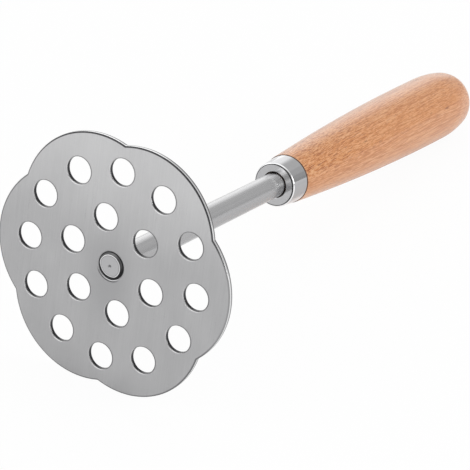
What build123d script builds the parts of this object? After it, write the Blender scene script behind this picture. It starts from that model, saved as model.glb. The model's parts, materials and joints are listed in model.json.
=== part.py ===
from build123d import *
import os
from math import acos, asin, atan2, cos, degrees, hypot, radians, sin, sqrt, tan

# Potato masher: a lobed, perforated steel plate riveted to the end of a round steel shaft, whose other end
# is glued into a turned wooden handle behind a drawn steel ferrule. Lengths are in millimetres.
#
# Each piece is built in the tool's own frame: the middle of the plate's working face is at the origin, the
# shaft runs along +z towards the handle, and +x is the side of the plate that ends up on the table. The
# pieces are then laid down as the tool lies on a table, on two lobes of the plate and on the handle's belly.

# Plate, stamped from sheet
plate_thickness = 1.8
plate_edge_round = 0.35
lobe_count = 6
lobe_radius = 28.4
lobe_reach = 16.8
notch_round = 1.0

# Holes in the plate, in two rings; the land is what is left between an outer hole and a notch in the rim
hole_diameter = 9.2
inner_ring_diameter = 32.8
inner_hole_count = 6
inner_ring_turn = 45.0
outer_hole_count = 12
rim_land = 4.4

# Shaft, with a tenon that is riveted over in the plate and a grooved tang that is glued into the handle. The
# riveting leaves a raised head with a narrow groove round it
shaft_diameter = 9.1
bare_shaft_length = 104.3
shaft_edge_chamfer = 0.3
tenon_diameter = 6.5
sink_depth = 0.9
head_sink_diameter = 10.2
head_base_diameter = 9.3
head_top_diameter = 7.9
head_height = 0.65
head_groove_depth = 0.12
head_edge_round = 0.2
head_mark_diameter = 1.3
head_mark_depth = 0.3
tang_length = 62.0
tang_end_chamfer = 1.2
grip_groove_count = 5
grip_groove_width = 1.6
grip_groove_depth = 0.4
grip_groove_pitch = 6.0
grip_groove_setback = 12.0

# Ferrule, a drawn cup with a flat face
ferrule_length = 8.8
ferrule_face_diameter = 16.7
ferrule_mouth_diameter = 18.0
ferrule_wall = 0.8
ferrule_edge_round = 0.55
ferrule_hole_play = 0.4
ferrule_hole_round = 0.2
ferrule_inner_round = 0.3
ferrule_rim_round = 0.15

# Handle, turned from one billet
handle_length = 142.8
handle_neck_diameter = 18.4
handle_belly_diameter = 27.3
belly_place_share = 0.829
end_round_share = 0.926
neck_edge_round = 0.4
spigot_end_gap = 0.3
bore_spare_depth = 2.0
drill_point_angle = 118.0

# Fits: play on the radius between a round piece and the hole it sits in, and the overrun of a cut
rivet_play = 0.05
glue_play = 0.1
overrun = 1.0

# Sizes that follow from those above
shaft_radius = shaft_diameter / 2
tenon_radius = tenon_diameter / 2
head_sink_radius = head_sink_diameter / 2
head_base_radius = head_base_diameter / 2
head_top_radius = head_top_diameter / 2
head_mark_radius = head_mark_diameter / 2
bore_radius = shaft_radius + glue_play
ferrule_face_z = plate_thickness + bare_shaft_length
seam_z = ferrule_face_z + ferrule_length
tang_end_z = ferrule_face_z + tang_length
handle_tip_z = seam_z + handle_length

# The handle's outline is three tangent arcs: the flank from the neck to the belly, the back from the belly
# to the rounded end, and the end itself, whose centre is on the axis. Each is (centre radius, centre z,
# arc radius), so the flank's and the back's centres lie on the far side of the axis.
neck_radius = handle_neck_diameter / 2
belly_radius = handle_belly_diameter / 2
belly_z = seam_z + handle_length * belly_place_share
neck_to_belly = belly_z - seam_z
neck_rise = belly_radius - neck_radius
flank_radius = (neck_to_belly**2 + neck_rise**2) / (2 * neck_rise)
end_radius = belly_radius * end_round_share
end_centre_z = handle_tip_z - end_radius
belly_to_end = end_centre_z - belly_z
back_radius = (belly_to_end**2 + belly_radius**2 - end_radius**2) / (2 * (belly_radius - end_radius))
flank_arc = (belly_radius - flank_radius, belly_z, flank_radius)
back_arc = (belly_radius - back_radius, belly_z, back_radius)
end_arc = (0, end_centre_z, end_radius)
neck_slope = degrees(asin(neck_to_belly / flank_radius))
end_slope = degrees(atan2(belly_to_end, back_radius - belly_radius))

# Where neighbouring lobes meet, and the outer ring of holes inside that
notch_middle = lobe_reach * cos(radians(180 / lobe_count))
notch_half_width = lobe_reach * sin(radians(180 / lobe_count))
notch_reach = notch_middle + sqrt(lobe_radius**2 - notch_half_width**2)
outer_ring_radius = notch_reach - rim_land - hole_diameter / 2

# The two lobes beside the lowest notch carry the plate: how far their edge lies below the shaft's axis
plate_drop = notch_middle + lobe_radius
plate_foot = (plate_drop - plate_edge_round, plate_thickness - plate_edge_round, plate_edge_round)


def tilt_on(arc):
    """The tilt in radians at which the plate's foot and an arc of the handle's outline share a table."""
    across = plate_foot[0] - arc[0]
    along = arc[1] - plate_foot[1]
    return acos((arc[2] - plate_foot[2]) / hypot(across, along)) - atan2(along, across)


# The handle lies on its back arc, unless a large plate tips it so far that its rounded end comes down first
tilt = tilt_on(back_arc)
if degrees(tilt) > end_slope:
    tilt = tilt_on(end_arc)

# The table is level with the plate's foot, and the origin is under the middle of the tool's length
table_drop = plate_foot[0] * cos(tilt) + plate_foot[1] * sin(tilt) + plate_foot[2]
front_x = plate_edge_round * cos(tilt) - plate_foot[0] * sin(tilt) - plate_edge_round
back_x = end_centre_z * cos(tilt) + end_radius
lying = Location((-(front_x + back_x) / 2, 0, table_drop)) * Location((0, 0, 0), (0, 90 + degrees(tilt), 0))


def turned(outline):
    """A solid turned about the shaft's axis from an outline in radius and z."""
    return revolve(Plane.XZ * outline, Axis.Z)


def arc_of(arc, start, end):
    """The part of an arc of the handle's outline between two slopes, in degrees from square to the axis."""
    centre_r, centre_z, radius = arc
    return CenterArc((centre_r, centre_z), radius, start, end - start)


def rounded(outline, corner, radius):
    """An outline with the corner nearest to a point rounded."""
    nearest = min(outline.vertices(), key=lambda vertex: (vertex - Vertex(*corner)).center().length)
    return fillet(nearest, radius)


def make_plate():
    """The stamped plate: six lobes, two rings of holes and the countersunk hole for the shaft's tenon."""
    lobes = PolarLocations(lobe_reach, lobe_count, 180 / lobe_count)
    outline = Sketch() + [place * Circle(lobe_radius) for place in lobes]
    notches = outline.vertices().filter_by(lambda v: v.center().length < lobe_reach + lobe_radius - notch_round)
    outline = fillet(notches, notch_round)
    inner_ring = PolarLocations(inner_ring_diameter / 2, inner_hole_count, inner_ring_turn)
    outer_ring = PolarLocations(outer_ring_radius, outer_hole_count)
    for ring in (inner_ring, outer_ring):
        outline -= [place * Circle(hole_diameter / 2) for place in ring]
    plate = extrude(outline, plate_thickness)
    plate = fillet(plate.edges().filter_by(Plane.XY), plate_edge_round)
    tenon_hole = Cylinder(tenon_radius + rivet_play, plate_thickness + 2 * overrun)
    sink = Cone(head_sink_radius + rivet_play, tenon_radius + rivet_play, sink_depth)
    plate -= Pos(0, 0, plate_thickness / 2) * tenon_hole
    return plate - Pos(0, 0, sink_depth / 2) * sink


def make_shaft():
    """The shaft in one piece: riveted head, tenon, shoulder, bare shaft and grooved tang."""
    sink_slope = (head_sink_radius - tenon_radius) / sink_depth
    groove_radius = head_sink_radius - sink_slope * head_groove_depth
    head_corner = (head_top_radius, -head_height)
    outline = Polyline(
        (0, head_mark_depth - head_height),
        (head_mark_radius, -head_height),
        head_corner,
        (head_base_radius, head_groove_depth),
        (groove_radius, head_groove_depth),
        (tenon_radius, sink_depth),
        (tenon_radius, plate_thickness),
        (shaft_radius - shaft_edge_chamfer, plate_thickness),
        (shaft_radius, plate_thickness + shaft_edge_chamfer),
        (shaft_radius, tang_end_z - tang_end_chamfer),
        (shaft_radius - tang_end_chamfer, tang_end_z),
        (0, tang_end_z),
        close=True,
    )
    shaft = turned(rounded(make_face(outline), head_corner, head_edge_round))
    ring = Cylinder(shaft_radius + overrun, grip_groove_width)
    ring -= Cylinder(shaft_radius - grip_groove_depth, grip_groove_width)
    for index in range(grip_groove_count):
        groove_z = tang_end_z - grip_groove_setback - index * grip_groove_pitch
        shaft -= Pos(0, 0, groove_z) * ring
    return shaft


def make_ferrule():
    """The drawn cup: a flat face with a hole for the shaft, a rounded edge and a wall that widens a little."""
    face_radius = ferrule_face_diameter / 2
    mouth_radius = ferrule_mouth_diameter / 2
    hole_radius = shaft_radius + ferrule_hole_play
    floor_z = ferrule_face_z + ferrule_wall
    outer_corner = (face_radius, ferrule_face_z)
    hole_corner = (hole_radius, ferrule_face_z)
    inner_corner = (face_radius - ferrule_wall, floor_z)
    outline = Polyline(
        hole_corner,
        outer_corner,
        (mouth_radius, seam_z),
        (mouth_radius - ferrule_wall, seam_z),
        inner_corner,
        (hole_radius, floor_z),
        close=True,
    )
    outline = rounded(make_face(outline), outer_corner, ferrule_edge_round)
    outline = rounded(outline, hole_corner, ferrule_hole_round)
    outline = rounded(outline, inner_corner, ferrule_inner_round)
    outline = rounded(outline, (mouth_radius, seam_z), ferrule_rim_round)
    return turned(outline)


def make_handle():
    """The turned handle: a spigot inside the ferrule, a neck, a belly, a rounded end and a drilled bore."""
    spigot_gap = ferrule_wall + glue_play
    spigot_face_z = ferrule_face_z + ferrule_wall + spigot_end_gap
    spigot_taper = (ferrule_mouth_diameter - ferrule_face_diameter) / 2 / ferrule_length
    spigot_mouth_radius = ferrule_mouth_diameter / 2 - spigot_gap
    spigot_face_radius = spigot_mouth_radius - spigot_taper * (seam_z - spigot_face_z)
    bore_end_z = tang_end_z + bore_spare_depth
    drill_point = bore_radius / tan(radians(drill_point_angle / 2))
    neck_corner = (neck_radius, seam_z)
    ends = Polyline(
        (0, handle_tip_z),
        (0, bore_end_z + drill_point),
        (bore_radius, bore_end_z),
        (bore_radius, spigot_face_z),
        (spigot_face_radius, spigot_face_z),
        (spigot_mouth_radius, seam_z),
        neck_corner,
    )
    flank = arc_of(flank_arc, -neck_slope, 0)
    back = arc_of(back_arc, 0, end_slope)
    end = arc_of(end_arc, end_slope, 90)
    outline = make_face([*ends.edges(), flank, back, end])
    return turned(rounded(outline, neck_corner, neck_edge_round))


pieces = {
    "mash_plate": make_plate(),
    "shaft": make_shaft(),
    "ferrule": make_ferrule(),
    "handle": make_handle(),
}

os.makedirs("parts", exist_ok=True)
for name, piece in pieces.items():
    export_step(lying * piece, f"parts/{name}.step")

print(f"rests at a tilt of {degrees(tilt):.2f} degrees, {back_x - front_x:.1f} mm long on the table")
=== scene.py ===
"""A potato masher lying on a white table: its studio, its camera and the finishes of its four pieces.

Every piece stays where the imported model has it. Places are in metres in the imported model's frame. The
finishes measure in millimetres in the tool's own frame: the middle of the plate's working face is at the
origin, +z runs along the shaft towards the handle, and +x is the side that lies on the table.
"""

import json
import logging
import math
from abc import ABC, abstractmethod
from dataclasses import dataclass, field
from enum import Enum
from typing import Any, Mapping, Sequence

import bpy
from mathutils import Euler, Matrix, Vector

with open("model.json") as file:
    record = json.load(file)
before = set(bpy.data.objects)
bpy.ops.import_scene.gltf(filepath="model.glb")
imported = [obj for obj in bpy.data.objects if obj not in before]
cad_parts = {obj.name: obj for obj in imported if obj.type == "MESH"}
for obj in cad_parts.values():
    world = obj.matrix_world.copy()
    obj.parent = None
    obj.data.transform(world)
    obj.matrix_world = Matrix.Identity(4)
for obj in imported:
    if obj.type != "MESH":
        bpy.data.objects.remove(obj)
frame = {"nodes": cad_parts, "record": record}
bpy.context.view_layer.update()

LOG = logging.getLogger("masher")
MM = 0.001

Pair = tuple[float, float]
Triple = tuple[float, float, float]
Colour = Triple
Socket = bpy.types.NodeSocket

X: Triple = (1.0, 0.0, 0.0)
Y: Triple = (0.0, 1.0, 0.0)
Z: Triple = (0.0, 0.0, 1.0)
OFF_Z: Triple = (1.0, 1.0, 0.0)
WHITE = (1.0, 1.0, 1.0, 1.0)
MID_NOISE = 0.5
MID_HEIGHT = 0.5
NOISE_TO_ZERO: Triple = (-MID_NOISE, -MID_NOISE, -MID_NOISE)


class Sum(Enum):
    """The sums that a Math node does here."""

    ADD = "ADD"
    SUBTRACT = "SUBTRACT"
    MULTIPLY = "MULTIPLY"
    DIVIDE = "DIVIDE"
    POWER = "POWER"
    FRACTION = "FRACT"
    ABSOLUTE = "ABSOLUTE"
    SMALLER = "MINIMUM"
    LARGER = "MAXIMUM"
    COSINE = "COSINE"
    ANGLE = "ARCTAN2"


class Value:
    """A number that changes over a surface: the output socket of a node, with Python's operators.

    Args:
        bench: the bench whose node tree the socket is in.
        socket: the output socket.
    """

    def __init__(self, bench: "Bench", socket: Socket) -> None:
        """Keeps the bench and the socket."""
        self.bench = bench
        self.socket = socket

    def __add__(self, other: "Number") -> "Value":
        """This value plus another."""
        return self.bench.sum(Sum.ADD, self, other)

    __radd__ = __add__

    def __sub__(self, other: "Number") -> "Value":
        """This value less another."""
        return self.bench.sum(Sum.SUBTRACT, self, other)

    def __rsub__(self, other: "Number") -> "Value":
        """Another value less this one."""
        return self.bench.sum(Sum.SUBTRACT, other, self)

    def __mul__(self, other: "Number") -> "Value":
        """This value times another."""
        return self.bench.sum(Sum.MULTIPLY, self, other)

    __rmul__ = __mul__

    def __truediv__(self, other: "Number") -> "Value":
        """This value divided by another."""
        return self.bench.sum(Sum.DIVIDE, self, other)

    def __rtruediv__(self, other: "Number") -> "Value":
        """Another value divided by this one."""
        return self.bench.sum(Sum.DIVIDE, other, self)

    def __pow__(self, other: "Number") -> "Value":
        """This value to a power."""
        return self.bench.sum(Sum.POWER, self, other)

    def __neg__(self) -> "Value":
        """This value with the other sign."""
        return self * -1.0

    def __mod__(self, other: float) -> "Value":
        """What is left of this value over whole multiples of a number."""
        return self.bench.sum(Sum.FRACTION, self / other) * other

    def __abs__(self) -> "Value":
        """This value without its sign."""
        return self.bench.sum(Sum.ABSOLUTE, self)


Number = Value | float


class Bench:
    """Adds the nodes of one tree.

    Args:
        tree: an empty node tree of a material or a world.
    """

    def __init__(self, tree: bpy.types.NodeTree) -> None:
        """Empties the tree, and keeps it."""
        self.tree = tree
        tree.nodes.clear()

    def add(self, kind: str, settings: Mapping[str, Any], sockets: Mapping[str | int, Any]) -> bpy.types.Node:
        """Adds a node of any type.

        Args:
            kind: the node's type.
            settings: the node's own properties, which are set first.
            sockets: what each input gets, as for feed.

        Returns:
            The node.
        """
        node = self.tree.nodes.new(kind)
        for name, setting in settings.items():
            setattr(node, name, setting)
        self.feed(node, sockets)
        return node

    def feed(self, node: bpy.types.Node, sockets: Mapping[str | int, Any]) -> None:
        """Gives a node's inputs their values or links.

        Args:
            node: the node.
            sockets: a number, a tuple, a value or another node's socket for each input.
        """
        for key, given in sockets.items():
            if isinstance(given, Value):
                given = given.socket
            if isinstance(given, Socket):
                self.tree.links.new(given, node.inputs[key])
            else:
                node.inputs[key].default_value = given

    def sum(self, kind: Sum, first: Number, second: Number = 0.0) -> Value:
        """The result of a Math node."""
        node = self.add("ShaderNodeMath", {"operation": kind.value}, {0: first, 1: second})
        return Value(self, node.outputs[0])

    def smaller(self, first: Number, second: Number) -> Value:
        """The smaller of two values."""
        return self.sum(Sum.SMALLER, first, second)

    def larger(self, first: Number, second: Number) -> Value:
        """The larger of two values."""
        return self.sum(Sum.LARGER, first, second)

    def dot(self, point: Socket, direction: Sequence[float]) -> Value:
        """How far a point lies along a direction."""
        node = self.add("ShaderNodeVectorMath", {"operation": "DOT_PRODUCT"}, {0: point, 1: tuple(direction)})
        return Value(self, node.outputs["Value"])

    def length(self, point: Socket) -> Value:
        """How far a point is from the origin."""
        node = self.add("ShaderNodeVectorMath", {"operation": "LENGTH"}, {0: point})
        return Value(self, node.outputs["Value"])

    def off_axis(self, point: Socket) -> Value:
        """How far a point is from the z axis."""
        return self.length(self.stretch(point, OFF_Z))

    def outward(self, point: Socket) -> Socket:
        """The direction of a point from the z axis, square to that axis and one unit long."""
        sockets = {0: self.stretch(point, OFF_Z)}
        return self.add("ShaderNodeVectorMath", {"operation": "NORMALIZE"}, sockets).outputs["Vector"]

    def stretch(self, point: Socket, factors: Sequence[float]) -> Socket:
        """A point with each of its coordinates multiplied."""
        node = self.add("ShaderNodeVectorMath", {"operation": "MULTIPLY"}, {0: point, 1: tuple(factors)})
        return node.outputs["Vector"]

    def shift(self, point: Socket, offset: Any) -> Socket:
        """A point moved by an offset, which may be a socket."""
        node = self.add("ShaderNodeVectorMath", {"operation": "ADD"}, {0: point, 1: offset})
        return node.outputs["Vector"]

    def placed(self, point: Socket, origin: Vector, turn: Euler, unit: float) -> Socket:
        """A point as an inner frame sees it, from that frame's origin, turn and unit in the outer frame."""
        sockets = {"Vector": point, "Location": origin, "Rotation": turn, "Scale": (unit, unit, unit)}
        return self.add("ShaderNodeMapping", {"vector_type": "TEXTURE"}, sockets).outputs["Vector"]

    def noise(self, point: Socket, detail: float = 2.0, roughness: float = 0.5) -> bpy.types.Node:
        """A noise texture with grains about one unit wide."""
        sockets = {"Vector": point, "Scale": 1.0, "Detail": detail, "Roughness": roughness}
        return self.add("ShaderNodeTexNoise", {"noise_dimensions": "3D"}, sockets)

    def cells(self, point: Socket) -> tuple[Value, Value]:
        """Scattered cells about one unit apart.

        Args:
            point: where the cells are looked up.

        Returns:
            The distance to the nearest cell's middle, and a number from 0 to 1 that is that cell's own.
        """
        sockets = {"Vector": point, "Scale": 1.0, "Randomness": 1.0}
        node = self.add("ShaderNodeTexVoronoi", {"feature": "F1"}, sockets)
        own = self.add("ShaderNodeSeparateColor", {}, {0: node.outputs["Color"]})
        return Value(self, node.outputs["Distance"]), Value(self, own.outputs[0])

    def tinted(self, below: Any, above: Any, share: Number) -> Socket:
        """One colour laid over another.

        Args:
            below: the colour below, or its socket.
            above: the colour above, or its socket.
            share: how much of the upper colour shows, from 0 to 1.

        Returns:
            The mixed colour's socket.
        """
        given = [(*c, 1.0) if isinstance(c, tuple) else c for c in (below, above)]
        settings = {"data_type": "RGBA", "blend_type": "MIX", "clamp_factor": True}
        node = self.add("ShaderNodeMix", settings, {0: share, 6: given[0], 7: given[1]})
        return node.outputs[2]

    def layered(self, below: Any, layers: Sequence[tuple[Any, Number]]) -> Socket:
        """Lays colours over one another.

        Args:
            below: the lowest colour, or its socket.
            layers: each colour above it, or its socket, with how much of it shows.

        Returns:
            The mixed colour's socket.
        """
        for above, share in layers:
            below = self.tinted(below, above, share)
        return below

    def bump(self, height: Value, depth: float) -> Socket:
        """The normal over a height from about 0 to 1 that stands for a depth in metres."""
        return self.add("ShaderNodeBump", {}, {"Height": height, "Distance": depth}).outputs["Normal"]


@dataclass(frozen=True)
class ToolFrame:
    """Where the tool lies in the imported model: read from its two mounts, on the plate and on the ferrule."""

    origin: Vector
    along: Vector
    ferrule_face: float

    @classmethod
    def from_record(cls, record: Mapping[str, Any]) -> "ToolFrame":
        """Reads the tool's frame.

        Args:
            record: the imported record.

        Returns:
            The frame, with the ferrule's face at its distance from the plate's face, in metres.
        """
        mounts = {mount["name"]: mount for mount in record["mounts"]}
        origin = Vector(mounts["pressing_face"]["pos_m"])
        along = -Vector(mounts["pressing_face"]["axis"]).normalized()
        return cls(origin, along, (Vector(mounts["ferrule_face"]["pos_m"]) - origin).dot(along))

    def turn(self) -> Euler:
        """How the tool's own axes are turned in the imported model."""
        return Euler((0.0, math.atan2(self.along.x, self.along.z), 0.0))

    def point(self, bench: Bench) -> Socket:
        """The shaded point in the tool's frame, in millimetres."""
        here = bench.add("ShaderNodeTexCoord", {}, {}).outputs["Object"]
        return bench.placed(here, self.origin, self.turn(), MM)

    def normal(self, bench: Bench) -> Socket:
        """The surface's normal in the tool's frame."""
        normal = bench.add("ShaderNodeNewGeometry", {}, {}).outputs["Normal"]
        return bench.placed(normal, Vector(), self.turn(), 1.0)


@dataclass(frozen=True)
class Finish(ABC):
    """A finish: one procedural material.

    Attributes:
        name: the finish's name, which starts the material's name.
        tool: the tool's frame, in which the finish is laid out.
    """

    name: str
    tool: ToolFrame

    @abstractmethod
    def paint(self, bench: Bench, shader: bpy.types.Node) -> None:
        """Sets and links the sockets of a Principled shader."""

    def material(self) -> bpy.types.Material:
        """Makes the finish's material.

        Returns:
            A new material with a Principled shader that the finish has painted.
        """
        made = bpy.data.materials.new(f"{self.name}_finish")
        made.use_nodes = True
        bench = Bench(made.node_tree)
        shader = bench.add("ShaderNodeBsdfPrincipled", {}, {})
        self.paint(bench, shader)
        bench.add("ShaderNodeOutputMaterial", {}, {"Surface": shader.outputs["BSDF"]})
        return made


@dataclass(frozen=True)
class Rise:
    """A mask that rises smoothly as a value goes from one limit to the other.

    Attributes:
        low: where the mask is 0.
        high: where it is full; it may be below low, and then the mask falls.
        share: how strong the full mask is.
    """

    low: float
    high: float
    share: float = 1.0

    def mask(self, value: Value) -> Value:
        """Finds the mask over a value.

        Args:
            value: the value.

        Returns:
            The mask, from 0 to the share.
        """
        limits = {"Value": value, "From Min": self.low, "From Max": self.high, "To Max": self.share}
        node = value.bench.add("ShaderNodeMapRange", {"interpolation_type": "SMOOTHSTEP"}, limits)
        return Value(value.bench, node.outputs[0])


@dataclass(frozen=True)
class Line:
    """A line, as a mask over the distance from something.

    Attributes:
        middle: the distance at which the line runs.
        half_width: half its width.
        softness: the width of its soft edges.
        share: how strong it is.
    """

    middle: float
    half_width: float
    softness: float
    share: float = 1.0

    def mask(self, distance: Value) -> Value:
        """The mask at a distance, from 0 to the share."""
        return Rise(self.half_width + self.softness, self.half_width, self.share).mask(abs(distance - self.middle))


@dataclass(frozen=True)
class Side:
    """A mask that rises towards one side of the tool.

    Attributes:
        way: the direction of that side from the tool's axis, in x and y.
        low, high: how far that way the mask is 0 and full, as in Rise.
        share: how strong the full mask is.
    """

    way: Pair
    low: float
    high: float
    share: float = 1.0

    def mask(self, bench: Bench, point: Socket) -> Value:
        """The mask at a point, or at a direction, from 0 to the share."""
        return Rise(self.low, self.high, self.share).mask(bench.dot(point, (*self.way, 0.0)))


@dataclass(frozen=True)
class Ring:
    """Equal circles spaced evenly round the tool's axis.

    Attributes:
        reach: the distance of their middles from the axis.
        count: how many there are.
        first: the direction of one of them, in degrees from +x towards +y.
        radius: their radius.
    """

    reach: float
    count: int
    first: float
    radius: float

    def past_edge(self, bench: Bench, point: Socket) -> Value:
        """Measures from the edge of the nearest circle, seen along the axis.

        Args:
            bench: the bench of the material's tree.
            point: the point.

        Returns:
            How far the point is outside that circle, less than 0 inside it.
        """
        pitch = math.tau / self.count
        start = math.tau - math.radians(self.first) + pitch / 2
        across = bench.off_axis(point)
        angle = bench.sum(Sum.ANGLE, bench.dot(point, Y), bench.dot(point, X))
        swing = (angle + start) % pitch - pitch / 2
        squared = across * across + self.reach**2 - across * bench.sum(Sum.COSINE, swing) * (2 * self.reach)
        return squared**0.5 - self.radius


@dataclass(frozen=True)
class Grain:
    """A noise that a finish is made of.

    Attributes:
        scale: how many of its grains there are in a millimetre, along x, y and z.
        tone: how much it changes the mix of the finish's two main colours.
        gloss: how much it changes the roughness.
        relief: how much it changes the height.
        detail: the noise's detail.
        harshness: how strong that detail is.
    """

    scale: Triple
    tone: float = 0.0
    gloss: float = 0.0
    relief: float = 0.0
    detail: float = 2.0
    harshness: float = 0.5

    def value(self, bench: Bench, point: Socket) -> Value:
        """The noise at a point, from about -0.5 to 0.5."""
        noise = bench.noise(bench.stretch(point, self.scale), self.detail, self.harshness)
        return Value(bench, noise.outputs["Fac"]) - MID_NOISE


class Grains:
    """What all the grains of a finish add up to at one point.

    Args:
        bench: the bench of the material's tree.
        point: the point.
        grains: the grains.
    """

    def __init__(self, bench: Bench, point: Socket, grains: Sequence[Grain]) -> None:
        """Adds the noises."""
        self.noises = [(grain, grain.value(bench, point)) for grain in grains]

    def tone(self) -> Number:
        """What they change in the mix of the two main colours."""
        return sum(noise * grain.tone for grain, noise in self.noises)

    def gloss(self) -> Number:
        """What they change in the roughness."""
        return sum(noise * grain.gloss for grain, noise in self.noises if grain.gloss)

    def relief(self) -> Number:
        """What they change in the height."""
        return sum(noise * grain.relief for grain, noise in self.noises if grain.relief)


@dataclass(frozen=True)
class Spots:
    """Scattered spots, each in a cell of its own.

    Attributes:
        scale: how many cells there are in a millimetre, along x, y and z.
        spot: the mask over the distance from a cell's middle, in cells.
        chosen: the mask over a cell's own number from 0 to 1; without it that number is the mask.
        tone: how much of its colour a spot shows.
        gloss: how much it adds to the roughness.
        depth: how deep it is in the height.
    """

    scale: Triple
    spot: Rise
    chosen: Rise | None = None
    tone: float = 1.0
    gloss: float = 0.0
    depth: float = 0.0

    def mask(self, bench: Bench, point: Socket) -> Value:
        """The mask of the spots at a point, from 0 to 1."""
        distance, own = bench.cells(bench.stretch(point, self.scale))
        return self.spot.mask(distance) * (self.chosen.mask(own) if self.chosen else own)


@dataclass(frozen=True)
class BrushedPlateSteel(Finish):
    """Sheet steel, brushed one way; its rim's wall is bright beside the working face, and its holes' walls are painted
    near black as shade.

    The rim and the holes are found from the circles that they are made of.

    Attributes:
        light, dark: the colours of the face and of its darker streaks.
        ground_and_glint, torn: the colours of the rim's wall, bright beside the working face and torn beside the back;
            the first is also the painted glint on the holes' edges.
        hole_wall_shade: the colour of the holes' walls, painted near black as shade.
        painted_shade: the colour of the painted shade along the rim and the holes, and of the head's painted shadow.
        lobes, holes: the circles that the rim is made of, and the two rings of holes.
        grains: broad streaks and fine hairs along x, and clouds.
        brushed: how light the face is below its middle.
        painted_lit_top: the painted reflection that lightens the face towards the top.
        dull: a darker, rougher patch round and below the shaft's head, over the distance from its own middle.
        dull_middle, dull_shape: how far below the axis that middle is, and how the patch is squeezed in x and y.
        dull_tone, dull_gloss: how dark the patch is, and how much it adds to the roughness.
        wall: the walls, over how far the surface faces the front or the back.
        wall_gloss: how much the walls take off the roughness.
        rim: the rim's wall and edge, over the distance inside the rim.
        torn_depth: the torn part of the rim's wall, over the distance from the working face.
        rim_shade_line, rim_shade_share: the line of painted shade along the rim, over the distance inside it, and its
            strength.
        rim_shade_facing: where that line runs, over how far the surface faces the back.
        rim_shade_top, rim_shade_right: the sides of the rim where that painted shade is stronger and weaker.
        hole_shade_line: the line of painted shade along a hole, over the distance from the hole's edge.
        hole_shade_shift: how far that line is off the hole's middle, in x and y.
        head_shadow, head_shadow_side: the painted shadow beside the shaft's head, over the distance from the axis, and
            its side.
        glint, glint_way: the painted glint on a hole's edge, over how far the edge leans in that direction.
        glint_reach: the same over the distance from the hole.
        roughness, relief: how matt the face is, and how deep the brushing is.
    """

    light: Colour = (0.59, 0.59, 0.595)
    dark: Colour = (0.365, 0.365, 0.371)
    ground_and_glint: Colour = (0.86, 0.86, 0.865)
    torn: Colour = (0.13, 0.13, 0.133)
    hole_wall_shade: Colour = (0.045, 0.045, 0.048)
    painted_shade: Colour = (0.04, 0.04, 0.043)
    lobes: Ring = Ring(16.8, 6, 30.0, 28.4)
    holes: tuple[Ring, Ring] = (Ring(16.4, 6, 45.0, 4.6), Ring(32.68, 12, 0.0, 4.6))
    grains: tuple[Grain, ...] = (
        Grain((0.03, 2.0, 2.0), tone=0.32, gloss=0.10, relief=0.4, detail=3.0, harshness=0.6),
        Grain((0.25, 9.0, 9.0), tone=0.25, gloss=0.08, relief=0.6),
        Grain((0.04, 0.06, 0.06), tone=0.5),
    )
    brushed: float = 0.34
    painted_lit_top: Side = Side((1.0, 0.0), -2.0, -40.0, 0.56)
    dull_middle: float = 4.5
    dull_shape: Pair = (0.75, 1.2)
    dull: Rise = Rise(17.0, 2.0)
    dull_tone: float = 0.9
    dull_gloss: float = 0.05
    wall: Rise = Rise(0.45, 0.2)
    wall_gloss: float = 0.08
    rim: Rise = Rise(1.2, 0.9)
    torn_depth: Rise = Rise(0.5, 1.44)
    rim_shade_line: Line = Line(0.15, 0.25, 0.20)
    rim_shade_facing: Rise = Rise(0.0, -0.12)
    rim_shade_share: float = 0.62
    rim_shade_top: Side = Side((-0.98, -0.17), 0.40, 0.80, 0.34)
    rim_shade_right: Side = Side((0.035, -1.0), 0.90, 0.99, 0.34)
    hole_shade_line: Rise = Rise(0.32, 0.15, 0.60)
    hole_shade_shift: Pair = (0.175, 0.305)
    head_shadow: Line = Line(5.40, 0.12, 0.2)
    head_shadow_side: Side = Side((0.97, 0.25), 2.5, 4.8, 0.7)
    glint_way: Pair = (-0.5, -0.87)
    glint_reach: Rise = Rise(0.5, 0.4)
    glint: Rise = Rise(0.08, 0.30, 0.35)
    roughness: float = 0.30
    relief: float = 0.004 * MM

    def past_hole(self, bench: Bench, point: Socket) -> Value:
        """How far a point is from the edge of the nearest hole, less than 0 inside the hole."""
        inner, outer = (ring.past_edge(bench, point) for ring in self.holes)
        return bench.smaller(inner, outer)

    def lines(self, bench: Bench, point: Socket, inside_rim: Value, facing: Value) -> Value:
        """The thin lines of painted shade along the rim and the holes, and the painted shadow beside the shaft's head.

        Args:
            bench: the bench of the material's tree.
            point: the shaded point.
            inside_rim: how far it is inside the rim.
            facing: how far its surface faces the back, from -1 on the working face to 1.

        Returns:
            The mask of the painted shade.
        """
        outward = bench.outward(point)
        # painted shade along the rim: stronger on the top side, weaker on the right
        share = self.rim_shade_share + self.rim_shade_top.mask(bench, outward) - self.rim_shade_right.mask(bench, outward)
        along_rim = self.rim_shade_line.mask(inside_rim) * self.rim_shade_facing.mask(facing) * share
        # painted shade along the side of each hole that lies in shade
        shifted = bench.shift(point, (*self.hole_shade_shift, 0.0))
        along_hole = self.hole_shade_line.mask(self.past_hole(bench, shifted))
        # painted shadow of the shaft's head on the plate, on one side
        head_shadow = self.head_shadow.mask(bench.off_axis(point)) * self.head_shadow_side.mask(bench, point)
        return bench.larger(bench.larger(along_rim, along_hole), head_shadow)

    def painted_hole_glint(self, bench: Bench, point: Socket, normal: Socket) -> Value:
        """The mask of the painted glint on the holes' edges, from a point and its normal."""
        leaning = bench.dot(normal, (*self.glint_way, 0.0))
        return self.glint.mask(leaning * self.glint_reach.mask(self.past_hole(bench, point)))

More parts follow.
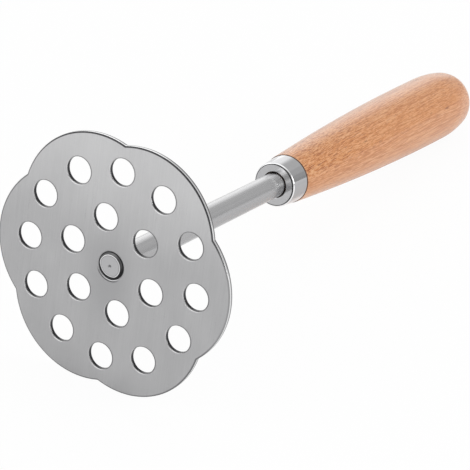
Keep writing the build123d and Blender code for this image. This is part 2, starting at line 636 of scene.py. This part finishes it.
    def paint(self, bench: Bench, shader: bpy.types.Node) -> None:
        """Lays streaks along x, a top lightened as a painted reflection, a dull middle, and the finish of the walls
        and edges with their painted shade and glint.

        Args:
            bench: the bench of the material's tree.
            shader: the material's Principled shader.
        """
        point = self.tool.point(bench)
        normal = self.tool.normal(bench)
        facing = bench.dot(normal, Z)
        inside_rim = -self.lobes.past_edge(bench, point)
        rim = self.rim.mask(inside_rim)
        wall = self.wall.mask(abs(facing))
        grains = Grains(bench, point, self.grains)
        off_dull = bench.stretch(bench.shift(point, (-self.dull_middle, 0.0, 0.0)), (*self.dull_shape, 0.0))
        dull = self.dull.mask(bench.length(off_dull))

        # the brushed level plus the painted reflection that lightens the top
        brushed = self.brushed + self.painted_lit_top.mask(bench, point) + grains.tone()
        rim_wall = bench.tinted(self.ground_and_glint, self.torn, self.torn_depth.mask(bench.dot(point, Z)))
        colour = bench.layered(self.dark, [
            (self.light, brushed),
            (self.dark, dull * self.dull_tone),
            (rim_wall, wall * rim),
            # painted shade: the holes' walls near black
            (self.hole_wall_shade, wall * (1 - rim)),
            # painted glint on the holes' edges
            (self.ground_and_glint, self.painted_hole_glint(bench, point, normal) * (1 - wall)),
            # painted shade: lines along the rim and the holes, and the head's painted shadow
            (self.painted_shade, self.lines(bench, point, inside_rim, facing)),
        ])
        bench.feed(shader, {
            "Base Color": colour,
            "Metallic": 1.0,
            "Roughness": self.roughness + grains.gloss() + dull * self.dull_gloss - wall * self.wall_gloss,
            "Normal": bench.bump(grains.relief() * (1 - wall) + MID_HEIGHT, self.relief),
        })


@dataclass(frozen=True)
class DrawnRodSteel(Finish):
    """Drawn rod: half bright, with faint die lines along it, painted reflections and shade along it, and painted
    highlight and shade round its riveted head.

    Attributes:
        light, dark: the colours of the rod and of its die lines; dark is also its painted shade.
        bright: the colour of the painted highlights, painted reflections and painted glare.
        scale: the colour of the painted shade round the head and beside the ferrule, and of the mark in the head's
            middle.
        grains: the die lines and fine hairs along z, and clouds.
        drawn: how light the rod is.
        shaded_flank, shaded_flank_share: the side of the rod that is painted darker as shade, and how much darker it
            and the head are.
        painted_reflections: the two sides painted bright as reflections.
        painted_glare, ferrule_shade: the side painted bright as glare, and the side painted dark as shade, beside the
            ferrule.
        painted_glare_reach, ferrule_shade_reach: both over the distance from the ferrule.
        head, head_gloss: the head, over the place along the tool, and how much it adds to the roughness.
        low, low_reach: the side of the head where the painted shade is strongest, and how much further in that
        shade reaches there.
        thick: another side of the head where the painted shade is strong.
        thin_shade, thick_shade: how strong the painted shade is, and how much stronger it is on those sides.
        groove_shade, head_shade, crest_highlight, inner, mark: over the distance from the axis, the painted shade in
        the hollow round the head, the painted shade round its flat, the painted highlight along the flat's edge, a
        line of painted shade inside that, and the mark in the middle.
        roughness, relief: how matt the rod is, and how deep its lines are.
    """

    light: Colour = (0.55, 0.55, 0.555)
    dark: Colour = (0.43, 0.43, 0.438)
    bright: Colour = (0.86, 0.86, 0.865)
    scale: Colour = (0.02, 0.02, 0.021)
    grains: tuple[Grain, ...] = (
        Grain((2.2, 2.2, 0.02), tone=0.8, gloss=0.08, relief=0.5, detail=3.0, harshness=0.6),
        Grain((9.0, 9.0, 0.1), tone=0.5, relief=0.5),
        Grain((0.1, 0.1, 0.05), tone=0.4, gloss=0.06),
    )
    drawn: float = 0.6
    shaded_flank: Side = Side((0.1, -1.0), 3.0, 4.3)
    shaded_flank_share: float = 0.8
    painted_reflections: tuple[Side, Side] = (Side((-0.87, 0.50), 3.7, 4.5, 0.32), Side((0.74, -0.67), 4.1, 4.5, 0.32))
    painted_glare: Side = Side((-0.81, -0.59), 3.3, 4.2, 0.95)
    painted_glare_reach: Rise = Rise(7.5, 4.5)
    ferrule_shade: Side = Side((-0.866, 0.5), 3.2, 4.4, 0.9)
    ferrule_shade_reach: Rise = Rise(6.3, 0.6)
    head: Rise = Rise(0.3, 0.2)
    head_gloss: float = 0.12
    groove_shade: Rise = Rise(4.50, 4.60)
    low: Side = Side((0.85, 0.52), 1.0, 3.5)
    low_reach: float = 0.60
    thick: Side = Side((0.85, -0.52), -1.0, 3.0)
    thin_shade: float = 0.62
    thick_shade: float = 0.36
    head_shade: Rise = Rise(3.95, 4.07)
    crest_highlight: Line = Line(3.83, 0.05, 0.07, 0.8)
    inner: Line = Line(3.59, 0.05, 0.07, 0.5)
    mark: Rise = Rise(0.75, 0.3, 0.6)
    roughness: float = 0.27
    relief: float = 0.003 * MM

    def head_light_shade_and_mark(self, bench: Bench, point: Socket) -> tuple[Value, Value]:
        """What is painted on the head: a highlight and shade, with the riveting's mark in the middle.

        Args:
            bench: the bench of the material's tree.
            point: the shaded point.

        Returns:
            The mask of the painted highlight round the flat, and that of the painted shade together with the mark in
            the middle.
        """
        off_middle = bench.off_axis(point)
        # the sides where the painted shade round the head is strongest
        low = self.low.mask(bench, point)
        spread = off_middle + low * self.low_reach
        shade_strength = self.thin_shade + bench.larger(low, self.thick.mask(bench, point)) * self.thick_shade
        head_shade = bench.larger(self.groove_shade.mask(off_middle), self.head_shade.mask(spread) * shade_strength)
        inner_shade_and_mark = bench.larger(self.inner.mask(spread), self.mark.mask(off_middle))
        return self.crest_highlight.mask(spread), bench.larger(head_shade, inner_shade_and_mark)

    def paint(self, bench: Bench, shader: bpy.types.Node) -> None:
        """Lays die lines and painted reflections along the rod, painted glare and shade beside the ferrule, and
        painted highlight, painted shade and the riveting's mark on its head.

        Args:
            bench: the bench of the material's tree.
            shader: the material's Principled shader.
        """
        point = self.tool.point(bench)
        place = bench.dot(point, Z)
        head = self.head.mask(place)
        before_ferrule = self.tool.ferrule_face / MM - place
        grains = Grains(bench, point, self.grains)
        shaded_flank = bench.larger(head, self.shaded_flank.mask(bench, point)) * self.shaded_flank_share
        painted_reflections = sum(track.mask(bench, point) for track in self.painted_reflections)
        painted_glare = self.painted_glare.mask(bench, point) * self.painted_glare_reach.mask(before_ferrule)
        ferrule_shade = self.ferrule_shade.mask(bench, point) * self.ferrule_shade_reach.mask(before_ferrule)
        crest_highlight, head_shade = self.head_light_shade_and_mark(bench, point)

        colour = bench.layered(self.dark, [
            (self.light, self.drawn + grains.tone()),
            # painted shade on one side of the rod, and the darker head
            (self.dark, shaded_flank),
            # painted reflections on two sides of the rod
            (self.bright, painted_reflections * (1 - head)),
            # painted glare beside the ferrule
            (self.bright, painted_glare),
            # painted shade beside the ferrule
            (self.scale, ferrule_shade),
            # painted highlight along the flat's edge
            (self.bright, head * crest_highlight),
            # painted shade round the head, with the real mark in its middle
            (self.scale, head * head_shade),
        ])
        bench.feed(shader, {
            "Base Color": colour,
            "Metallic": 1.0,
            "Roughness": self.roughness + grains.gloss() + head * self.head_gloss,
            "Normal": bench.bump(grains.relief() + MID_HEIGHT, self.relief),
        })


@dataclass(frozen=True)
class PolishedFerruleSteel(Finish):
    """Polished steel with faint polishing marks, and with lengthwise bands painted brighter and duller as reflections
    and shade.

    Attributes:
        light, dark: the colours of the steel and of its duller patches.
        dull: the colour where it was polished least.
        bright: the colour of the painted highlight on the rounded edge, and of the painted reflections and glare.
        crease_shade: the colour of the painted shade in the crease where the face turns into the rounded edge.
        grains: the polishing marks round the wall, and patches.
        polished: how light the steel is.
        front: the cup's front, over the distance behind its face.
        shaded_flank, painted_dark_bands: the side of the wall painted darker as shade, and two narrow bands of the
            wall painted dark as reflections.
        painted_reflections: the two sides of the wall painted bright as reflections.
        face, face_dull: the face, over how far the surface faces the front, and how dull it is.
        painted_glare: the side of the face painted bright as glare.
        edge: where the rounded edge, painted bright as a highlight, starts and ends, over how far the surface faces
            the front.
        crease, crease_reach: the crease, over the distance from its own middle, and the radius of that middle.
        crease_wide: the side where that painted shade is wider, and by how much.
        roughness, relief: how matt the steel is, and how deep its marks are.
    """

    light: Colour = (0.58, 0.58, 0.59)
    dark: Colour = (0.50, 0.50, 0.51)
    # dull: the colour of the painted shade and dark reflections on the wall, and of the duller face.
    dull: Colour = (0.40, 0.40, 0.41)
    bright: Colour = (0.97, 0.97, 0.98)
    crease_shade: Colour = (0.02, 0.02, 0.021)
    grains: tuple[Grain, ...] = (
        Grain((0.6, 0.6, 9.0), tone=0.4, gloss=0.04, relief=0.3, detail=3.0, harshness=0.6),
        Grain((0.35, 0.35, 0.35), tone=0.9, gloss=0.06, relief=0.7),
    )
    polished: float = 0.6
    front: Rise = Rise(0.3, 0.15)
    shaded_flank: Side = Side((0.25, -0.97), 6.3, 7.9, 0.5)
    painted_dark_bands: tuple[Side, Side] = (
        Side((-0.695, -0.719), 0.982, 0.995, 0.45),
        Side((-0.342, -0.940), 0.982, 0.995, 0.30),
    )
    painted_reflections: tuple[Side, Side] = (Side((0.72, -0.69), 7.6, 8.8, 0.82), Side((-0.88, 0.47), 8.2, 8.8, 0.55))
    face: Rise = Rise(0.98, 0.995)
    face_dull: float = 0.25
    painted_glare: Side = Side((-0.67, -0.74), 0.85, 0.98, 0.8)
    edge: tuple[Rise, Rise] = (Rise(0.10, 0.30), Rise(0.98, 0.90))
    crease: Rise = Rise(0.18, 0.08, 0.95)
    crease_reach: float = 7.80
    crease_wide: Side = Side((-0.5, -0.87), 0.0, 6.0, 0.14)
    roughness: float = 0.09
    relief: float = 0.004 * MM

    def paint(self, bench: Bench, shader: bpy.types.Node) -> None:
        """Lays fine marks round the wall, soft duller patches, painted reflections and shade along the wall, a painted
        highlight on the edge, and painted shade in the crease round the face.

        Args:
            bench: the bench of the material's tree.
            shader: the material's Principled shader.
        """
        point = self.tool.point(bench)
        outward = bench.outward(point)
        front = self.front.mask(bench.dot(point, Z) - self.tool.ferrule_face / MM)
        side = 1 - front
        facing = -bench.dot(self.tool.normal(bench), Z)
        face = self.face.mask(facing)
        # the rounded edge, painted bright as a highlight
        rounded = self.edge[0].mask(facing) * self.edge[1].mask(facing)
        off_crease = abs(bench.off_axis(point) - self.crease_reach) - self.crease_wide.mask(bench, point)
        grains = Grains(bench, point, self.grains)
        painted_dark_bands = sum(band.mask(bench, outward) for band in self.painted_dark_bands)
        painted_reflections = sum(track.mask(bench, point) for track in self.painted_reflections)

        colour = bench.layered(self.dark, [
            (self.light, self.polished + grains.tone()),
            # painted shade on one side of the wall, and the duller face
            (self.dull, self.shaded_flank.mask(bench, point) * side + face * self.face_dull),
            # dark reflections painted in two narrow bands
            (self.dull, painted_dark_bands * side),
            # painted reflections on two sides of the wall
            (self.bright, painted_reflections * side),
            # painted glare on the face
            (self.bright, self.painted_glare.mask(bench, outward) * face),
            # painted highlight on the rounded edge
            (self.bright, rounded),
            # painted shade in the crease round the face
            (self.crease_shade, self.crease.mask(off_crease) * front),
        ])
        bench.feed(shader, {
            "Base Color": colour,
            "Metallic": 1.0,
            "Roughness": self.roughness + grains.gloss(),
            "Normal": bench.bump(grains.relief() + MID_HEIGHT, self.relief),
        })


@dataclass(frozen=True)
class LacqueredBeech(Finish):
    """Beech cut from one billet, under a thin clear lacquer.

    The billet's own frame has x towards the bark and z along the fibres.

    Attributes:
        body, pale, deep: the wood's main colour, that of its paler streaks and that of its latewood lines.
        fleck: the colour of its ray flecks and pores.
        stroke: the colour of the short dark strokes that the rays leave on a flat-sawn face.
        open_ends: the colour of its end grain, which drank the lacquer.
        crease_shade: the colour of the painted shade in the joint at the ferrule.
        bark_turn: the direction of the bark in the billet's section, in degrees from +x towards +y.
        slant: how far the fibres slant off the tool's axis, in degrees about x and y.
        billet_start: where the billet's frame starts along the tool.
        drift_scale, drift_width: how fast the fibres wander, in grains to a millimetre, and how far.
        year: the width of a year's growth.
        latewood, latewood_rise: how deep in colour the latewood is, and the power that keeps it to the year's
            end.
        flat_sawn: where the wood is flat-sawn, over how far the surface faces the bark or the heart.
        streaks, fibres: the broad paler streaks, and the fine lines and fibres, which are deeper in colour.
        dashes, dark_dash, pale_dash: the noise of the short dashes, and the dashes over that noise.
        flecks, strokes, pores: the ray flecks, the short dark strokes and the pores.
        near, far: the neck and the rounded end, over the place along the billet.
        near_loss, far_loss: how much of the pale colour each of them loses.
        near_deeper: how much deeper the neck's flat-sawn faces are.
        far_dashes, far_strokes: how much of the dashes and of the strokes is left past the neck.
        paleness, deepness: how much of the pale and of the deep colour shows.
        deeper, paler: the side painted deeper in colour as shade, and the side painted paler as light.
        end_grain: the end grain, over how far the surface faces the handle's end.
        end_tone, end_latewood: how much of the end grain's colour shows, and how much more on latewood.
        end_gloss, end_coat: how much the end grain adds to the roughness, and takes off the lacquer.
        seam_shade: that painted shade, over the distance from the plate's face.
        roughness, gloss: how matt the wood is, and how much it mirrors under the lacquer.
        coat, coat_roughness: how thick and how matt the lacquer is.
        level, relief: the height of the bare surface, and how deep the pores are.
    """

    body: Colour = (0.655, 0.264, 0.084)
    pale: Colour = (0.79, 0.42, 0.21)
    deep: Colour = (0.42, 0.135, 0.036)
    fleck: Colour = (0.22, 0.075, 0.028)
    stroke: Colour = (0.30, 0.068, 0.010)
    open_ends: Colour = (0.44, 0.18, 0.065)
    crease_shade: Colour = (0.05, 0.022, 0.012)
    bark_turn: float = 200.0
    slant: Pair = (0.6, 1.2)
    billet_start: float = 110.0
    drift_scale: Triple = (0.05, 0.05, 0.012)
    drift_width: Triple = (3.0, 3.0, 0.0)
    year: float = 2.4
    latewood_rise: float = 3.0
    latewood: float = 0.15
    flat_sawn: Rise = Rise(0.35, 0.90)
    streaks: Grain = Grain((0.30, 0.45, 0.02), gloss=0.10, detail=3.0, harshness=0.6)
    fibres: tuple[Grain, ...] = (
        Grain((1.9, 1.9, 0.05), tone=1.8, detail=3.0, harshness=0.65),
        Grain((3.0, 3.0, 0.16), tone=1.4, relief=0.3),
    )
    dashes: Grain = Grain((0.5, 3.3, 0.55), tone=0.75, detail=1.0)
    dark_dash: Rise = Rise(0.02, 0.14)
    pale_dash: Rise = Rise(-0.02, -0.14, 0.7)
    flecks: Spots = Spots(
        (1 / 8.0, 1 / 1.6, 1 / 9.0), Rise(0.24, 0.12), Rise(0.70, 0.95), tone=0.75, gloss=0.10, depth=0.3
    )
    strokes: Spots = Spots((1 / 4.0, 1 / 0.46, 1 / 5.2), Rise(0.52, 0.24), Rise(0.15, 0.60), tone=0.88)
    pores: Spots = Spots((2.6, 2.6, 0.40), Rise(0.38, 0.12), tone=0.30, gloss=0.08, depth=0.5)
    near: Rise = Rise(75.0, 10.0)
    near_loss: float = 0.10
    near_deeper: float = 0.14
    far: Rise = Rise(95.0, 135.0)
    far_loss: float = 0.12
    far_dashes: float = 0.3
    far_strokes: float = 0.35
    paleness: float = 0.24
    deepness: float = 0.05
    deeper: Side = Side((-0.087, -0.996), 0.94, 0.985, 0.14)
    paler: Side = Side((0.643, -0.766), 0.90, 0.985, 0.28)
    end_grain: Rise = Rise(0.30, 0.95)
    end_tone: float = 0.35
    end_latewood: float = 0.3
    end_gloss: float = 0.15
    end_coat: float = 0.4
    seam_shade: Rise = Rise(115.35, 115.05, 0.9)
    roughness: float = 0.42
    gloss: float = 0.15
    coat: float = 0.9
    coat_roughness: float = 0.18
    level: float = 0.8
    relief: float = 0.03 * MM

    def billet(self, bench: Bench, point: Socket) -> Socket:
        """A point of the tool as a place in the billet."""
        turn = Euler([math.radians(degrees) for degrees in (*self.slant, self.bark_turn)])
        return bench.placed(point, Vector((0, 0, self.billet_start)), turn, 1.0)

    def wander(self, bench: Bench, wood: Socket) -> Socket:
        """A place in the billet, moved as the fibres wander there."""
        drift = bench.shift(bench.noise(bench.stretch(wood, self.drift_scale)).outputs["Color"], NOISE_TO_ZERO)
        return bench.shift(wood, bench.stretch(drift, self.drift_width))

    def dashed(self, bench: Bench, fibre: Socket) -> Value:
        """The short dashes at a place among the fibres: above 0 the dark ones, below 0 the pale ones."""
        grains = self.dashes.value(bench, fibre)
        return self.dark_dash.mask(grains) - self.pale_dash.mask(grains)

    def paint(self, bench: Bench, shader: bpy.types.Node) -> None:
        """Lays growth rings, fibres, ray flecks, strokes, pores and end grain through the solid wood, with painted
        shade and light on two sides and painted shade in the joint at the ferrule.

        Args:
            bench: the bench of the material's tree.
            shader: the material's Principled shader.
        """
        point = self.tool.point(bench)
        normal = self.tool.normal(bench)
        wood = self.billet(bench, point)
        fibre = self.wander(bench, wood)
        bark = math.radians(self.bark_turn)
        flat_sawn = self.flat_sawn.mask(abs(bench.dot(normal, (math.cos(bark), math.sin(bark), 0.0))))
        near = self.near.mask(bench.dot(wood, Z))
        far = self.far.mask(bench.dot(wood, Z))
        end_grain = self.end_grain.mask(bench.dot(normal, Z))

        latewood = ((bench.dot(fibre, X) / self.year) % 1.0) ** self.latewood_rise
        streaks = self.streaks.value(bench, fibre)
        fibres = Grains(bench, fibre, self.fibres)
        dashes = self.dashed(bench, fibre) * flat_sawn * (self.far_dashes + near * (1 - self.far_dashes))
        flecks = self.flecks.mask(bench, fibre) * flat_sawn
        strokes = self.strokes.mask(bench, fibre) * flat_sawn * (self.far_strokes + near * (1 - self.far_strokes))
        pores = self.pores.mask(bench, fibre)

        tone = fibres.tone() + dashes * self.dashes.tone - flat_sawn * near * self.near_deeper
        paler = self.paleness - near * self.near_loss - far * self.far_loss + streaks - tone
        # deeper also holds the side painted deeper in colour as shade
        deeper = self.deepness + latewood * self.latewood + self.deeper.mask(bench, normal) + tone
        colour = bench.layered(self.body, [
            (self.pale, paler),
            # the side painted paler as light
            (self.pale, self.paler.mask(bench, normal)),
            (self.deep, deeper),
            (self.fleck, flecks * self.flecks.tone),
            (self.stroke, strokes * self.strokes.tone),
            (self.fleck, pores * self.pores.tone),
            (self.open_ends, end_grain * (self.end_tone + latewood * self.end_latewood)),
            # painted shade in the joint at the ferrule
            (self.crease_shade, self.seam_shade.mask(bench.dot(point, Z))),
        ])
        matt = streaks * self.streaks.gloss + flecks * self.flecks.gloss + pores * self.pores.gloss
        height = self.level - pores * self.pores.depth - flecks * self.flecks.depth + fibres.relief()
        bench.feed(shader, {
            "Base Color": colour,
            "Roughness": self.roughness + matt + end_grain * self.end_gloss,
            "Specular IOR Level": self.gloss,
            "Coat Weight": self.coat - end_grain * self.end_coat,
            "Coat Roughness": self.coat_roughness,
            "Normal": bench.bump(height, self.relief),
        })


@dataclass
class Subassembly(ABC):
    """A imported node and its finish."""

    tool: ToolFrame
    node: str = field(init=False)

    @abstractmethod
    def finish(self) -> Finish:
        """The finish of the node."""

    def dress(self, nodes: Mapping[str, bpy.types.Object]) -> None:
        """Gives the node its finish.

        Args:
            nodes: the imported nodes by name.
        """
        piece = nodes[self.node]
        finish = self.finish()
        made = finish.material()
        for slot in piece.material_slots:
            slot.material = made
        LOG.info("%s: %s", piece.name, made.name)


@dataclass
class MashPlate(Subassembly):
    """The lobed, perforated plate."""

    node: str = "mash_plate"

    def finish(self) -> Finish:
        """Brushed sheet steel."""
        return BrushedPlateSteel("plate_steel", self.tool)


@dataclass
class Shaft(Subassembly):
    """The round shaft with its riveted head."""

    node: str = "shaft"

    def finish(self) -> Finish:
        """Drawn rod steel."""
        return DrawnRodSteel("shaft_steel", self.tool)


@dataclass
class Ferrule(Subassembly):
    """The cup over the handle's neck."""

    node: str = "ferrule"

    def finish(self) -> Finish:
        """Polished steel."""
        return PolishedFerruleSteel("ferrule_steel", self.tool)


@dataclass
class Handle(Subassembly):
    """The turned handle."""

    node: str = "handle"

    def finish(self) -> Finish:
        """Lacquered beech."""
        return LacqueredBeech("beech", self.tool)


@dataclass(frozen=True)
class Card:
    """A distant card in the studio, which lights or darkens a part of the room.

    Attributes:
        azimuth: its middle, in degrees from +x towards +y.
        elevation: its middle's height above the horizon, in degrees.
        half_width: half its width over its distance.
        half_height: half its height over its distance.
        softness: the width of its edges over its distance.
        light: how bright it is.
        least_ahead: keeps the distance of what is beside or behind it above 0.
        front_half: the half of the room that it is in, over how far a direction looks towards it.
    """

    azimuth: float
    elevation: float
    half_width: float
    half_height: float
    softness: float
    light: float
    least_ahead: float = 0.001
    front_half: Rise = Rise(0.0, 0.05)

    def mask(self, bench: Bench, way: Socket) -> Value:
        """Finds the card.

        Args:
            bench: the bench of the world's tree.
            way: the direction that is looked at.

        Returns:
            1 on the card and 0 off it.
        """
        turn = Euler((0.0, -math.radians(self.elevation), math.radians(self.azimuth))).to_matrix()
        ahead = bench.dot(way, turn @ Vector(X))
        in_front = bench.larger(ahead, self.least_ahead)
        across = bench.dot(way, turn @ Vector(Y)) / in_front
        rise = bench.dot(way, turn @ Vector(Z)) / in_front
        wide = Line(0.0, self.half_width, self.softness).mask(across)
        high = Line(0.0, self.half_height, self.softness).mask(rise)
        return wide * high * self.front_half.mask(ahead)


@dataclass
class Studio:
    """A white table in a soft studio.

    Attributes:
        floor_reach: how far the floor goes from the object.
        floor_colour: the colour of the floor under the lamp.
        seen_white: how much of the floor that a camera sees is plain white.
        mirrored_white: the same for what a gloss or a clear body shows of it.
        wall: the light of the room's walls.
        ceiling: the light of its ceiling.
        ceiling_rise: where the walls turn into the ceiling, over how far a direction looks up.
        cards: the cards, each over those before it.
        key_place: where the lamp stands.
        key_size: how wide it is.
        key_power: its power in watts.
    """

    floor_reach: float = 6.0
    floor_colour: Colour = (0.92, 0.92, 0.92)
    seen_white: float = 0.95
    mirrored_white: float = 0.40
    wall: float = 0.68
    ceiling: float = 1.10
    ceiling_rise: Rise = Rise(0.6, 0.9)
    cards: tuple[Card, ...] = (
        Card(-135.0, 43.0, 0.45, 0.35, 0.25, 0.30),
        Card(148.0, 14.0, 0.50, 0.30, 0.15, 2.0),
        Card(-56.0, 8.0, 0.35, 0.32, 0.06, 0.48),
        Card(40.0, 8.0, 0.29, 0.25, 0.34, 1.35),
    )
    key_place: Triple = (0.41, -1.42, 0.65)
    key_size: float = 0.85
    key_power: float = 8.5

    def build(self) -> None:
        """Builds the floor, the world and the lamp."""
        self.build_floor()
        self.build_world()
        self.build_key()

    def build_floor(self) -> None:
        """A plain floor whose shader is white to the eye and keeps a part of the shadows."""
        r = self.floor_reach
        mesh = bpy.data.meshes.new("floor")
        mesh.from_pydata([(-r, -r, 0), (r, -r, 0), (r, r, 0), (-r, r, 0)], [], [(0, 1, 2, 3)])
        floor = bpy.data.objects.new("floor", mesh)
        bpy.context.scene.collection.objects.link(floor)
        made = bpy.data.materials.new("white_floor")
        made.use_nodes = True
        made.cycles.emission_sampling = "NONE"
        bench = Bench(made.node_tree)
        rays = bench.add("ShaderNodeLightPath", {}, {}).outputs
        mirrored = Value(bench, rays["Is Glossy Ray"]) + Value(bench, rays["Is Transmission Ray"])
        seen = Value(bench, rays["Is Camera Ray"]) * self.seen_white
        share = seen + bench.smaller(mirrored, 1.0) * self.mirrored_white
        lit = bench.add("ShaderNodeBsdfDiffuse", {}, {"Color": (*self.floor_colour, 1.0)})
        white = bench.add("ShaderNodeEmission", {}, {"Color": WHITE, "Strength": 1.0})
        mixed = bench.add("ShaderNodeMixShader", {}, {0: share, 1: lit.outputs[0], 2: white.outputs[0]})
        bench.add("ShaderNodeOutputMaterial", {}, {"Surface": mixed.outputs[0]})
        mesh.materials.append(made)

    def build_world(self) -> None:
        """The room's light by direction, and plain white where the camera looks past the floor."""
        world = bpy.data.worlds.new("studio")
        bpy.context.scene.world = world
        world.use_nodes = True
        bench = Bench(world.node_tree)
        way = bench.add("ShaderNodeTexCoord", {}, {}).outputs["Generated"]
        light = self.wall + (self.ceiling - self.wall) * self.ceiling_rise.mask(bench.dot(way, Z))
        for card in self.cards:
            mask = card.mask(bench, way)
            light = light * (1 - mask) + mask * card.light
        rays = bench.add("ShaderNodeLightPath", {}, {}).outputs
        room = bench.add("ShaderNodeBackground", {}, {"Color": WHITE, "Strength": light})
        white = bench.add("ShaderNodeBackground", {}, {"Color": WHITE, "Strength": 1.0})
        sockets = {0: rays["Is Camera Ray"], 1: room.outputs[0], 2: white.outputs[0]}
        mixed = bench.add("ShaderNodeMixShader", {}, sockets)
        bench.add("ShaderNodeOutputWorld", {}, {"Surface": mixed.outputs[0]})

    def build_key(self) -> None:
        """A square lamp that faces the object."""
        light = bpy.data.lights.new("key", "AREA")
        light.size = self.key_size
        light.energy = self.key_power
        lamp = bpy.data.objects.new("key", light)
        lamp.location = self.key_place
        lamp.rotation_euler = (-Vector(self.key_place)).to_track_quat("-Z", "Y").to_euler()
        lamp.visible_camera = False
        bpy.context.scene.collection.objects.link(lamp)


@dataclass
class Camera:
    """The camera, where the photograph was taken from.

    Attributes:
        place: where it stands.
        heading: the way it looks, in degrees from +x towards +y.
        pitch: how far it looks up.
        roll: how far it is turned about its own line of sight.
        lens: its focal length over a sensor of the width below, in millimetres.
        sensor: the width of the sensor, which is the width of the square picture.
        nearest, furthest: the distances between which it sees.
    """

    place: Triple = (-0.617261, -0.326327, 0.379835)
    heading: float = 29.7327
    pitch: float = -28.6741
    roll: float = 4.3865
    lens: float = 160.32
    sensor: float = 36.0
    nearest: float = 0.05
    furthest: float = 50.0

    def build(self) -> None:
        """Makes the camera and gives it to the scene."""
        data = bpy.data.cameras.new("camera")
        data.lens = self.lens
        data.sensor_width = self.sensor
        data.clip_start = self.nearest
        data.clip_end = self.furthest
        camera = bpy.data.objects.new("camera", data)
        aimed = Matrix.Rotation(math.radians(self.heading - 90), 4, "Z")
        aimed = aimed @ Matrix.Rotation(math.radians(90 + self.pitch), 4, "X")
        aimed = aimed @ Matrix.Rotation(math.radians(self.roll), 4, "Z")
        camera.matrix_world = Matrix.Translation(Vector(self.place)) @ aimed
        bpy.context.scene.collection.objects.link(camera)
        bpy.context.scene.camera = camera


def main() -> None:
    """Sets the camera and the studio, and dresses the pieces from the plate to the handle."""
    logging.basicConfig(level=logging.INFO, format="%(name)s: %(message)s")
    bpy.context.scene.view_settings.view_transform = "Standard"
    Camera().build()
    Studio().build()
    tool = ToolFrame.from_record(frame["record"])
    LOG.info("the ferrule's face is %.1f mm from the plate's", tool.ferrule_face / MM)
    for part in (MashPlate(tool), Shaft(tool), Ferrule(tool), Handle(tool)):
        part.dress(frame["nodes"])


if __name__ == "__main__":
    main()
